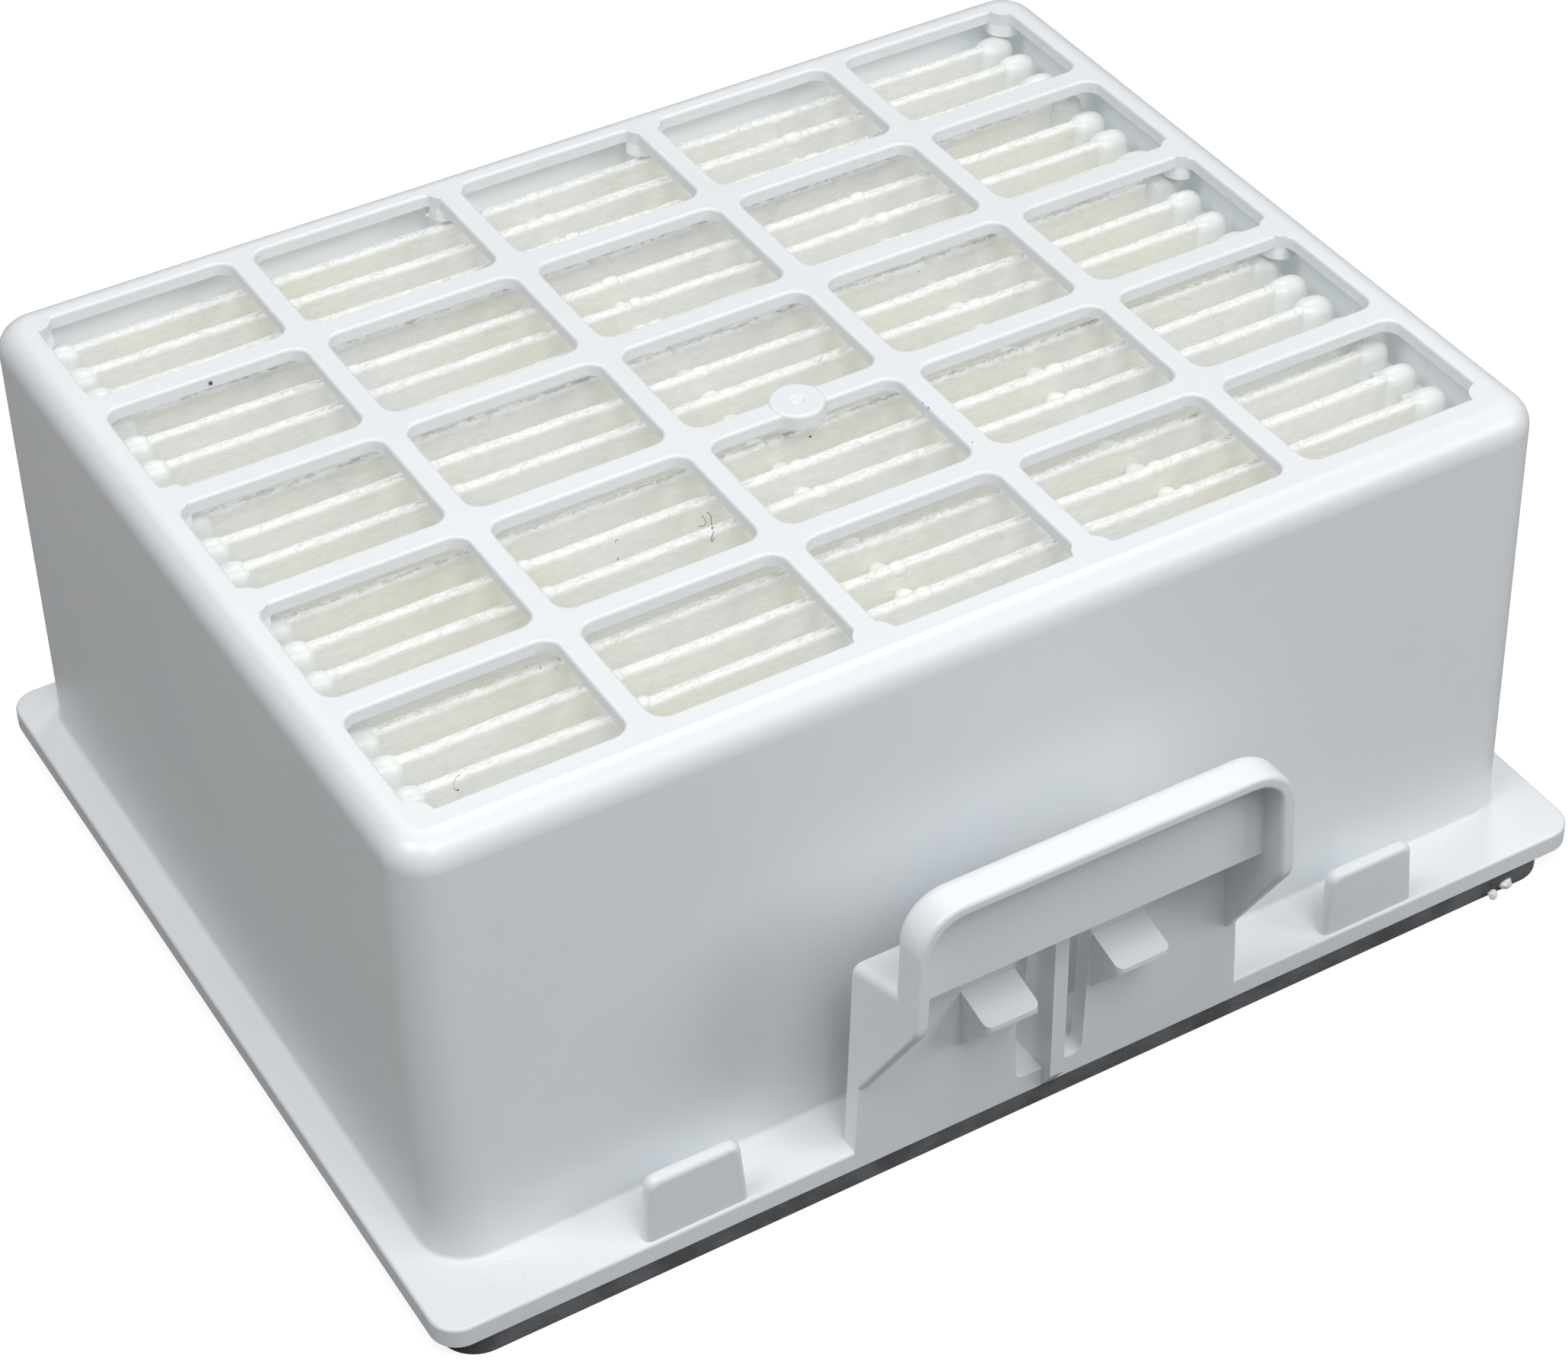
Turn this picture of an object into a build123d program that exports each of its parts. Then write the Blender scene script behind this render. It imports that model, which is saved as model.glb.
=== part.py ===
from build123d import *
import math
import os

# Moulded exhaust filter cassette: a drafted box with a windowed top face, a flange with a
# foam seal under it, and a springy handle plate in front. Inside it stands a pleated pack.
# Millimetres. x runs along the front, y to the back, z up. The origin is on the rest plane
# under the foam seal, below the middle of the box.

# Windows in the top face, and the rims they leave round them
columns = 5
rows = 5
cross_rib_width = 2.5
long_rib_width = 2.7
rim_front = 5.08
rim_back = 3.98
rim_side = 3.93
window_corner = 1.7
window_draft = 2.0
rib_edge_radius = 0.35

# Box
box_length = 126.8
box_depth = 98.3
box_height = 51.7
box_corner = 5.0
box_draft = 0.8
wall = 2.0
top_thickness = 1.4
top_edge_radius = 3.0

# Flange, as it reaches out from the foot of the box, and foam seal
flange_side_reach = 3.65
flange_front_reach = 7.0
flange_back_reach = 2.6
flange_thickness = 2.4
flange_corner = 3.0
flange_edge_radius = 0.4
foot_radius = 0.5
seal_thickness = 2.4
seal_left_inset = 1.3
seal_right_inset = 3.0
seal_front_inset = 0.15
seal_back_inset = 0.8
seal_inner_gap = 0.3
seal_corner = 4.0

# Ejector posts under the rim and the rib ends
post_radius = 2.1
post_length = 2.9
post_offset = 0.3

# Injection point boss on the middle rib
boss_shift = 0.35
boss_radius = 2.9
boss_rise = 0.2
boss_dimple_radius = 0.9
boss_dimple_depth = 0.25
boss_neck = 2.5
boss_neck_round = 0.3
boss_round = 0.4

# Locating tabs on the front edge of the flange
tab_spacing = 79.3
tab_length = 11.6
tab_top_length = 10.0
tab_height = 7.9
tab_thickness = 1.6
tab_inset = 0.3
tab_corner = 1.2
tab_round = 0.7

# Handle plate: lower plate, sloping shelf, grip panel with a rim, ramped cheeks
handle_length = 44.9
handle_draft = 2.6
handle_rise = 37.4
plate_thickness = 2.0
plate_lean = 1.0
shelf_height = 23.5
shelf_rise = 2.3
shelf_thickness = 1.8
grip_reach = 9.5
grip_depth = 4.4
panel_thickness = 1.3
rim_thickness = 1.5
rim_edge_radius = 0.5
grip_corner = 5.0
grip_back_radius = 1.5
ramp_start = 8.2
ramp_end = 23.2
ramp_round = 3.0
shoulder_radius = 1.0

# Opening and stiffening rib in the lower plate
slot_length = 7.8
slot_flare = 0.5
slot_height = 20.5
slot_foot_radius = 1.0
stiffener_thickness = 1.6
stiffener_proud = 1.5
stiffener_back = 2.6

# Barbed catches on the lower plate
catch_spacing = 15.1
catch_length = 6.1
catch_reach = 5.0
catch_height = 16.1
catch_fall = 1.3
catch_lip = 0.6
catch_root = 7.6
catch_corner = 0.8

# Pleated pack, and the gaps round its top
pleats = 19
media_thickness = 0.5
fold_radius = 0.75
pack_below_top = 3.5
pack_height = 44.5
pack_front_gap = 3.85
pack_back_gap = 1.75
pack_end_gap = 1.41

# Glue on the pack
end_glue_length = 2.9
end_glue_rise = 0.5
finger_radius = 2.5
bead_spacing = 30.2
bead_shift = -2.8
bead_width = 3.0
bead_cap = 0.45
bead_meniscus = 0.4
bead_tooth = 3.2
sealant_height = 5.0
sealant_lift = 2.0

# Width of the band in which edges and faces are looked for
reach = 0.01

# Levels and derived sizes
flange_low = seal_thickness
flange_top = flange_low + flange_thickness
box_top = flange_top + box_height
plate_low = box_top - top_thickness
flange_length = box_length + 2 * flange_side_reach
flange_front = box_depth / 2 + flange_front_reach
flange_back = box_depth / 2 + flange_back_reach
draft_slope = math.tan(math.radians(box_draft))
top_draft = box_height * draft_slope
grid_length = box_length - 2 * top_draft - 2 * rim_side
grid_depth = box_depth - 2 * top_draft - rim_front - rim_back
grid_shift = (rim_front - rim_back) / 2
column_pitch = (grid_length + cross_rib_width) / columns
row_pitch = (grid_depth + long_rib_width) / rows
window_length = column_pitch - cross_rib_width
window_depth = row_pitch - long_rib_width
cavity_draft = (plate_low - flange_top) * draft_slope
cavity_length = box_length - 2 * wall - 2 * cavity_draft
cavity_depth = box_depth - 2 * wall - 2 * cavity_draft
media_length = cavity_length - 2 * (pack_end_gap + end_glue_length)
pack_shift = (pack_front_gap - pack_back_gap) / 2
outer_fold = fold_radius + media_thickness / 2
inner_fold = fold_radius - media_thickness / 2
pleat_pitch = (cavity_depth - pack_front_gap - pack_back_gap - 2 * outer_fold) / (pleats - 1)
pack_top = box_top - pack_below_top
pack_bottom = pack_top - pack_height
crest_level = pack_top - outer_fold
valley_level = pack_bottom + outer_fold
first_crest = -(pleats - 1) / 2 * pleat_pitch


def pack_plane(x):
    """Upright plane across the pleats, at a place along the box."""
    return Plane(origin=(x, pack_shift, 0), x_dir=(0, 1, 0), z_dir=(1, 0, 0))


def leg_normal():
    """Direction square to a falling pleat leg, towards the next pleat."""
    run = pleat_pitch / 2
    drop = crest_level - valley_level
    spread = math.hypot(run, drop)
    lean = math.atan2(run, drop) - math.asin(2 * fold_radius / spread)
    return math.cos(lean), math.sin(lean)


def pleat_line(crest_radius, valley_radius):
    """Draws one face of the folded sheet, from the front end to the back end."""
    across, up = leg_normal()
    foot = crest_level + crest_radius * up - pack_bottom
    start_y = first_crest - crest_radius * across - foot * up / across
    last = (start_y, pack_bottom)
    for i in range(pleats):
        crest = first_crest + i * pleat_pitch
        rise = (crest - crest_radius * across, crest_level + crest_radius * up)
        top = (crest, crest_level + crest_radius)
        fall = (crest + crest_radius * across, crest_level + crest_radius * up)
        Line(last, rise)
        ThreePointArc(rise, top, fall)
        last = fall
        if i < pleats - 1:
            valley = crest + pleat_pitch / 2
            enter = (valley - valley_radius * across, valley_level - valley_radius * up)
            low = (valley, valley_level - valley_radius)
            leave = (valley + valley_radius * across, valley_level - valley_radius * up)
            Line(last, enter)
            ThreePointArc(enter, low, leave)
            last = leave
    Line(last, (-start_y, pack_bottom))
    return start_y


# Handle outline seen from the side, in y and z
plate_front = -flange_front
plate_back = plate_front + plate_thickness
grip_front = plate_front - grip_reach
grip_back = grip_front + grip_depth
panel_front = grip_back - panel_thickness
handle_top = flange_top + handle_rise
shelf_back_level = flange_top + shelf_height
shelf_front_level = shelf_back_level + shelf_rise
lean_shift = shelf_height * math.tan(math.radians(plate_lean))
shelf_back = plate_back - lean_shift
shelf_root = plate_front - lean_shift
ramp_low = (plate_front, flange_top + ramp_start)
ramp_high = (grip_front, flange_top + ramp_end)
handle_narrow = handle_rise * math.tan(math.radians(handle_draft))


def handle_face(inset, top_inset, corner, bottom):
    """Front view of the handle: drafted sides and a rounded top, shrunk by the insets."""
    half_low = handle_length / 2 - inset
    half_high = half_low - handle_narrow
    top = handle_top - top_inset
    slope = handle_narrow / handle_rise
    side_low = half_low + (flange_top - bottom) * slope
    with BuildSketch(mode=Mode.PRIVATE) as face:
        with BuildLine():
            Polyline(
                (-side_low, bottom),
                (side_low, bottom),
                (half_high, top),
                (-half_high, top),
                close=True,
            )
        make_face()
        fillet(face.vertices().group_by(Axis.Y)[-1], radius=corner)
    return face.sketch


# Handle frame: cheeks and rim, hollow in front
with BuildPart() as handle:
    with BuildSketch(Plane.YZ) as handle_side:
        with BuildLine():
            Polyline(
                (plate_front, flange_low),
                ramp_low,
                ramp_high,
                (grip_front, handle_top),
                (grip_back, handle_top),
                (grip_back, shelf_front_level),
                (shelf_back, shelf_back_level),
                (plate_back, flange_low),
                close=True,
            )
        make_face()
        ramp_corner = handle_side.vertices().sort_by_distance(ramp_high)[0]
        fillet(ramp_corner, radius=ramp_round)
    extrude(amount=handle_length, both=True)
    with BuildSketch(Plane.XZ):
        add(handle_face(rim_thickness, rim_thickness, grip_corner - rim_thickness, flange_low))
    extrude(amount=2 * flange_front, both=True, mode=Mode.SUBTRACT)
    with BuildSketch(Plane.YZ):
        with BuildLine():
            Polyline(
                (plate_front, flange_low),
                (shelf_root, shelf_back_level - shelf_thickness),
                (panel_front, shelf_front_level - shelf_thickness),
                (panel_front, handle_top),
                (grip_back, handle_top),
                (grip_back, shelf_front_level),
                (shelf_back, shelf_back_level),
                (plate_back, flange_low),
                close=True,
            )
        make_face()
    extrude(amount=handle_length, both=True)
    with BuildSketch(Plane.XZ):
        add(handle_face(0, 0, grip_corner, flange_low))
    extrude(amount=2 * flange_front, both=True, mode=Mode.INTERSECT)
    slot_half = slot_length / 2
    with BuildSketch(Plane.XZ) as opening:
        with BuildLine():
            Polyline(
                (-slot_half, flange_top),
                (slot_half, flange_top),
                (slot_half + slot_flare, flange_top + slot_height),
                (-slot_half - slot_flare, flange_top + slot_height),
                close=True,
            )
        make_face()
        fillet(opening.vertices().group_by(Axis.Y)[0], radius=slot_foot_radius)
    extrude(amount=2 * flange_front, both=True, mode=Mode.SUBTRACT)
    upright_faces = handle.faces().filter_by(Axis.Y)
    rim_face = upright_faces.sort_by(Axis.Y)[0]
    fillet(rim_face.edges(), radius=rim_edge_radius)
    upright_faces = handle.faces().filter_by(Axis.Y)
    back_face = upright_faces.filter_by_position(Axis.Y, grip_back - reach, grip_back + reach)[0]
    fillet(back_face.edges().group_by(Axis.Z)[1:], radius=grip_back_radius)
    shelf_levels = (shelf_back_level - reach, shelf_front_level + reach)
    shelf_edges = handle.edges().filter_by_position(Axis.Z, *shelf_levels)
    shelf_edges = shelf_edges.filter_by_position(Axis.Y, grip_back - reach, shelf_back + reach)
    shelf_edges = shelf_edges.sort_by(Axis.X)
    fillet([shelf_edges[0], shelf_edges[-1]], radius=shoulder_radius)

# Upright rib in the middle of that opening
with BuildPart() as stiffener:
    with BuildSketch(Plane.YZ):
        with BuildLine():
            Polyline(
                (plate_front, flange_low),
                (plate_front - stiffener_proud, flange_top),
                (shelf_root - stiffener_proud, shelf_back_level - shelf_thickness / 2),
                (shelf_back, shelf_back_level - shelf_thickness / 2),
                (plate_back + stiffener_back, flange_top),
                (plate_back + stiffener_back, flange_low),
                close=True,
            )
        make_face()
    extrude(amount=stiffener_thickness / 2, both=True)

# One barbed catch, its flat side up, drawn in the middle
with BuildPart() as catch:
    root = plate_front + plate_thickness / 2
    tip = plate_front - catch_reach
    high = flange_top + catch_height
    slope = catch_fall / catch_reach
    with BuildSketch(Plane.YZ):
        with BuildLine():
            Polyline(
                (root, high + slope * (root - plate_front)),
                (tip, high - catch_fall),
                (tip, high - catch_fall - catch_lip),
                (plate_front, high - catch_root),
                (root, high - catch_root),
                close=True,
            )
        make_face()
    extrude(amount=catch_length / 2, both=True)
    fillet(catch.edges().filter_by(Axis.Z).group_by(Axis.Y)[0], radius=catch_corner)

# One locating tab, drawn in the middle
with BuildPart() as tab:
    tab_front = flange_front - tab_inset
    with BuildSketch(Plane.XZ.offset(tab_front)):
        with BuildLine():
            Polyline(
                (-tab_length / 2, flange_top - flange_thickness / 2),
                (tab_length / 2, flange_top - flange_thickness / 2),
                (tab_top_length / 2, flange_top + tab_height),
                (-tab_top_length / 2, flange_top + tab_height),
                close=True,
            )
        make_face()
    extrude(amount=-tab_thickness)
    fillet(tab.edges().filter_by(Axis.Y).group_by(Axis.Z)[-1], radius=tab_corner)
    fillet(tab.edges().group_by(Axis.Z)[-1].filter_by(Axis.X), radius=tab_round)

# Injection boss on the middle rib, with necks that run into the rib
boss_y = grid_shift - row_pitch / 2
with BuildPart() as boss:
    with BuildSketch(Plane.XY.offset(plate_low)) as necks:
        with Locations((boss_shift, boss_y)):
            Circle(boss_radius)
            Rectangle(2 * boss_radius + 4 * boss_neck, long_rib_width - 2 * rib_edge_radius)
        neck_reach = (boss_shift - boss_radius, boss_shift + boss_radius)
        fillet(necks.vertices().filter_by_position(Axis.X, *neck_reach), radius=boss_neck)
    extrude(amount=top_thickness)
    fillet(boss.edges().group_by(Axis.Z)[-1], radius=boss_neck_round)
    with BuildSketch(Plane.XY.offset(plate_low)):
        with Locations((boss_shift, boss_y)):
            Circle(boss_radius)
    extrude(amount=top_thickness + boss_rise)
    fillet(boss.edges().group_by(Axis.Z)[-1], radius=boss_round)
    dimple_ball = (boss_dimple_radius**2 + boss_dimple_depth**2) / (2 * boss_dimple_depth)
    with Locations((boss_shift, boss_y, box_top + boss_rise + dimple_ball - boss_dimple_depth)):
        Sphere(dimple_ball, mode=Mode.SUBTRACT)

# Space inside the box, up to the underside of the top face
with BuildPart() as cavity:
    growth = 2 * flange_thickness * draft_slope - 2 * wall
    with BuildSketch(Plane.XY.offset(flange_low)):
        RectangleRounded(box_length + growth, box_depth + growth, box_corner - wall)
    extrude(amount=plate_low - flange_low, taper=box_draft)

# Outside of the box
with BuildPart() as box:
    with BuildSketch(Plane.XY.offset(flange_top)):
        RectangleRounded(box_length, box_depth, box_corner)
    extrude(amount=box_height, taper=box_draft)
    fillet(box.edges().group_by(Axis.Z)[-1], radius=top_edge_radius)

# Ejector posts that swell the corners of the outer windows
with BuildPart() as posts:
    post_x = grid_length / 2 + post_offset
    post_y = grid_depth / 2 + post_offset
    signs = [(sx, sy) for sx in (-1, 1) for sy in (-1, 1)]
    post_places = [(sx * post_x, grid_shift + sy * post_y) for sx, sy in signs]
    post_places += [(sx * column_pitch / 2, grid_shift + sy * post_y) for sx, sy in signs]
    post_places += [(sx * post_x, grid_shift + sy * row_pitch / 2) for sx, sy in signs]
    with BuildSketch(Plane.XY.offset(box_top - post_length)):
        with Locations(*post_places):
            Circle(post_radius)
    extrude(amount=post_length)
    add(box.part, mode=Mode.INTERSECT)

# Housing: one moulding
with BuildPart() as housing:
    with BuildSketch(Plane.XY.offset(flange_low)):
        with Locations((0, (flange_back - flange_front) / 2)):
            RectangleRounded(flange_length, flange_front + flange_back, flange_corner)
    extrude(amount=flange_thickness)
    fillet(housing.edges().group_by(Axis.Z)[-1], radius=flange_edge_radius)
    add(box.part)
    foot_edges = housing.edges().filter_by_position(Axis.Z, flange_top - reach, flange_top + reach)
    foot_edges = foot_edges.filter_by_position(Axis.X, -box_length / 2, box_length / 2)
    foot_edges = foot_edges.filter_by_position(Axis.Y, -box_depth / 2, box_depth / 2)
    fillet(foot_edges, radius=foot_radius)
    add(cavity.part, mode=Mode.SUBTRACT)
    with BuildSketch(Plane.XY.offset(plate_low)):
        narrowing = 2 * top_thickness * math.tan(math.radians(window_draft))
        with Locations((0, grid_shift)):
            with GridLocations(column_pitch, row_pitch, columns, rows):
                RectangleRounded(window_length - narrowing, window_depth - narrowing, window_corner)
    extrude(amount=top_thickness, taper=-window_draft, mode=Mode.SUBTRACT)
    top_face = housing.faces().sort_by(Axis.Z)[-1]
    fillet([edge for wire in top_face.inner_wires() for edge in wire.edges()], radius=rib_edge_radius)
    add(posts.part)
    add(boss.part)
    add(handle.part)
    add(stiffener.part)
    with Locations((-catch_spacing / 2, 0, 0), (catch_spacing / 2, 0, 0)):
        add(catch.part)
    with Locations((-tab_spacing / 2, 0, 0), (tab_spacing / 2, 0, 0)):
        add(tab.part)


# Folded filter sheet
with BuildPart() as pleated_media:
    with BuildSketch(pack_plane(-media_length / 2)):
        with BuildLine():
            sheet_start = pleat_line(outer_fold, inner_fold)
            inner_start = pleat_line(inner_fold, outer_fold)
            Line((sheet_start, pack_bottom), (inner_start, pack_bottom))
            Line((-sheet_start, pack_bottom), (-inner_start, pack_bottom))
        make_face()
    extrude(amount=media_length)

# Glue that closes the pleat ends, one rounded finger for each pleat
with BuildPart() as end_glue_right:
    with BuildSketch(Plane.XY.offset(pack_bottom)):
        finger_x = (media_length + end_glue_length * 2) / 2 - finger_radius
        strip = finger_x - media_length / 2
        with Locations((media_length / 2 + strip / 2, pack_shift)):
            Rectangle(strip, -2 * sheet_start)
        with Locations((finger_x, pack_shift)):
            with GridLocations(0, pleat_pitch, 1, pleats):
                Circle(finger_radius)
        with Locations((0, pack_shift)):
            Rectangle(media_length, box_depth, mode=Mode.SUBTRACT)
    extrude(amount=pack_height + end_glue_rise)

with BuildPart() as end_glue_left:
    add(end_glue_right.part.mirror(Plane.YZ))

# Glue bead over the folds, teeth between them, drawn in the middle of the box
with BuildPart() as top_bead:
    with BuildSketch(pack_plane(-bead_width / 2)):
        with Locations((0, crest_level - (bead_tooth + bead_meniscus) / 2)):
            Rectangle(2 * (outer_fold + bead_cap - first_crest), bead_tooth - bead_meniscus)
        with Locations((0, crest_level)):
            with GridLocations(pleat_pitch, 0, pleats, 1):
                Circle(outer_fold + bead_cap)
        with BuildLine():
            pleat_line(outer_fold, inner_fold)
            Line((sheet_start, pack_bottom), (-sheet_start, pack_bottom))
        make_face(mode=Mode.SUBTRACT)
    extrude(amount=bead_width)

# The same under the lower folds
with BuildPart() as low_bead:
    with BuildSketch(pack_plane(-bead_width / 2)) as low_comb:
        with Locations((0, valley_level + (bead_tooth + bead_meniscus) / 2)):
            Rectangle(-2 * inner_start, bead_tooth - bead_meniscus)
        with Locations((0, valley_level)):
            with GridLocations(pleat_pitch, 0, pleats - 1, 1):
                Circle(outer_fold + bead_cap)
        with BuildLine():
            pleat_line(inner_fold, outer_fold)
            Polyline(
                (inner_start, pack_bottom),
                (inner_start, pack_bottom - outer_fold),
                (-inner_start, pack_bottom - outer_fold),
                (-inner_start, pack_bottom),
            )
        make_face(mode=Mode.INTERSECT)
    extrude(amount=bead_width)

# Ring of sealing glue between the pack and the box walls
with BuildPart() as pack_sealant:
    add(cavity.part)
    with BuildSketch(Plane.XY.offset(pack_bottom + sealant_lift)):
        Rectangle(2 * box_length, 2 * box_depth)
    extrude(amount=sealant_height, mode=Mode.INTERSECT)
    with BuildSketch(pack_plane(-media_length / 2)):
        with BuildLine():
            across, up = leg_normal()
            shoulder = (first_crest - outer_fold * across, crest_level + outer_fold * up)
            Polyline(
                (sheet_start, pack_bottom),
                shoulder,
                (-shoulder[0], shoulder[1]),
                (-sheet_start, pack_bottom),
                close=True,
            )
        make_face()
    extrude(amount=media_length, mode=Mode.SUBTRACT)
    add(end_glue_right.part, mode=Mode.SUBTRACT)
    add(end_glue_left.part, mode=Mode.SUBTRACT)

# Foam seal under the flange
with BuildPart() as flange_seal:
    seal_left = flange_length / 2 - seal_left_inset
    seal_right = flange_length / 2 - seal_right_inset
    seal_front = flange_front - seal_front_inset
    seal_back = flange_back - seal_back_inset
    with BuildSketch():
        with Locations(((seal_right - seal_left) / 2, (seal_back - seal_front) / 2)):
            RectangleRounded(seal_left + seal_right, seal_front + seal_back, seal_corner)
        hole_growth = growth + 2 * seal_inner_gap
        RectangleRounded(
            box_length + hole_growth,
            box_depth + hole_growth,
            box_corner - wall + seal_inner_gap,
            mode=Mode.SUBTRACT,
        )
    extrude(amount=seal_thickness)

os.makedirs("parts", exist_ok=True)

housing.part.label = "housing"
export_step(housing.part, "parts/housing.step")
pleated_media.part.label = "pleated_media"
export_step(pleated_media.part, "parts/pleated_media.step")
end_glue_right.part.label = "end_glue_right"
export_step(end_glue_right.part, "parts/end_glue_right.step")
end_glue_left.part.label = "end_glue_left"
export_step(end_glue_left.part, "parts/end_glue_left.step")
pack_sealant.part.label = "pack_sealant"
export_step(pack_sealant.part, "parts/pack_sealant.step")
flange_seal.part.label = "flange_seal"
export_step(flange_seal.part, "parts/flange_seal.step")
for place, side in [(-1, "left"), (0, "middle"), (1, "right")]:
    bead_x = bead_shift + place * bead_spacing
    upper = Pos(bead_x, 0, 0) * top_bead.part
    upper.label = f"top_bead_{side}"
    export_step(upper, f"parts/top_bead_{side}.step")
    lower = Pos(bead_x, 0, 0) * low_bead.part
    lower.label = f"low_bead_{side}"
    export_step(lower, f"parts/low_bead_{side}.step")
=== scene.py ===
import math
import random

import bpy
from mathutils import Matrix, Vector, noise


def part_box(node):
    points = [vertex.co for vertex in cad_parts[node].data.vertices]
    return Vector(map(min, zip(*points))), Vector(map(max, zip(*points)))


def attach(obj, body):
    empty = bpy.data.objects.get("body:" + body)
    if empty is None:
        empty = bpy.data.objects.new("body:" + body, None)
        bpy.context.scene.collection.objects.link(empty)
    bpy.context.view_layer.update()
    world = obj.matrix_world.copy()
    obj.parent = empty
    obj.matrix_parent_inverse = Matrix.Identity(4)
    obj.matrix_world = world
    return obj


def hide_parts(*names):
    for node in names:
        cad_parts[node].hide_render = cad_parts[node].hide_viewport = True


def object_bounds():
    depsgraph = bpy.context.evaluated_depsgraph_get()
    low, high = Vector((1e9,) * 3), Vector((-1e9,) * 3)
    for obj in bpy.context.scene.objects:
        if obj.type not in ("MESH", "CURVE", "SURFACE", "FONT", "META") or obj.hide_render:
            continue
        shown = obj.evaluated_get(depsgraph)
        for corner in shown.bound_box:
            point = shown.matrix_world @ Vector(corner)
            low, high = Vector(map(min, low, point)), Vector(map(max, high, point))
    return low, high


bl_info = {
    "name": "Pleated filter cassette",
    "version": (1, 0, 0),
    "blender": (4, 5, 0),
    "location": "View3D > Sidebar > Cassette",
    "description": "Dresses a packed filter cassette: moulded plastic, folded paper, glue and foam",
    "category": "Object",
}

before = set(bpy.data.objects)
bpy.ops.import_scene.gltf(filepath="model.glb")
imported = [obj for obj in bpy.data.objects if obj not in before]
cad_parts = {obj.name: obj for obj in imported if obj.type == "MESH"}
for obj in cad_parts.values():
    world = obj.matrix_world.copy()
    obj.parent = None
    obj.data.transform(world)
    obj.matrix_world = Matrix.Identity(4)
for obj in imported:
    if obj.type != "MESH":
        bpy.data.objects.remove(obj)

MM = 0.001
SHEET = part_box("pleated_media")
CAD_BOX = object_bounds()
CAMERA_PLACE = Vector((-0.152136, -0.276690, 0.280803))

# Marks of the mould
GATE = Vector((0.35 * MM, -8.5 * MM, 56.55 * MM))
SCAR_RADIUS, SCAR_HEIGHT, SCAR_THICKNESS = 0.85 * MM, 0.14 * MM, 0.25 * MM
EJECTOR_MARK = Vector((-0.0584, -0.0522, 0.0048))
RING_RADIUS, RING_HEIGHT, RING_WIDTH, RING_EDGE = 1.8 * MM, 0.03 * MM, 0.12 * MM, 0.015 * MM

# Inside of the box: half its depth, underside of the ribs, least distance of a wall from the middle
INNER_HALF_DEPTH, RIB_UNDERSIDE, WALL_DISTANCE = 47.6 * MM, 55.05 * MM, 15.0 * MM

# Fluffy skin of the crests, whose pale colour also paints the highlight along them: its shortening, shift to
# the front, depth, wander and tuft height
WOOL_SHORTER, WOOL_SHIFT, WOOL_DEPTH = 1.6 * MM, 0.1 * MM, 0.22 * MM
WOOL_DRIFT, WOOL_FRAY, WOOL_BASE, WOOL_TUFT = 0.22 * MM, 0.05 * MM, 0.03, 0.11

# Space between the end glue and the wall, and how uneven the glue between two fingers is
GLUE_GAP, LEDGE_SWELL = 0.1 * MM, 0.35 * MM

# Lamps: azimuth and elevation in degrees and width in metres, at LAMP_DISTANCE from LAMP_TARGET
LAMP_TARGET, LAMP_DISTANCE = Vector((0, 0, 0.03)), 1.0
LAMPS = {
    "key": (45, 60, 0.14),
    "front": (268, 56, 0.45),
    "back": (95, 55, 0.45),
    "side": (315, 32, 0.45),
    "left": (192, 57, 0.45),
}

# Hairs: level and points in millimetres on the camera's sight lines, thickness as a share, and finish
HAIRS = (
    (53.2, ((34.56, 3.79), (35.78, 3.19), (36.74, 2.76), (37.30, 2.74)), 1.4, "bright_fibre"),
    (52.6, (
        (-13.64, -14.92), (-13.50, -15.28), (-13.62, -15.78), (-14.12, -16.60), (-14.44, -17.39),
        (-14.61, -17.99), (-15.03, -18.43), (-15.57, -18.93), (-15.56, -19.36), (-15.08, -18.82),
    ), 1.0, "dark_dust"),
    (52.4, (
        (-14.19, -14.83), (-14.18, -15.27), (-14.29, -16.05), (-14.71, -16.35), (-15.20, -16.47),
        (-15.21, -16.04),
    ), 0.8, "dark_dust"),
    (52.6, ((-23.44, -14.43), (-23.24, -13.99), (-23.00, -13.93), (-23.08, -14.23)), 0.9, "dark_dust"),
    (52.6, (
        (-51.33, -36.80), (-51.35, -36.54), (-51.81, -36.86), (-52.22, -37.21), (-52.49, -37.76),
        (-52.60, -38.29), (-52.33, -38.34),
    ), 0.7, "dark_dust"),
    (52.4, ((-39.05, -26.10), (-39.51, -26.53), (-39.94, -26.90), (-40.09, -26.88)), 0.6, "dark_dust"),
)

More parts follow.
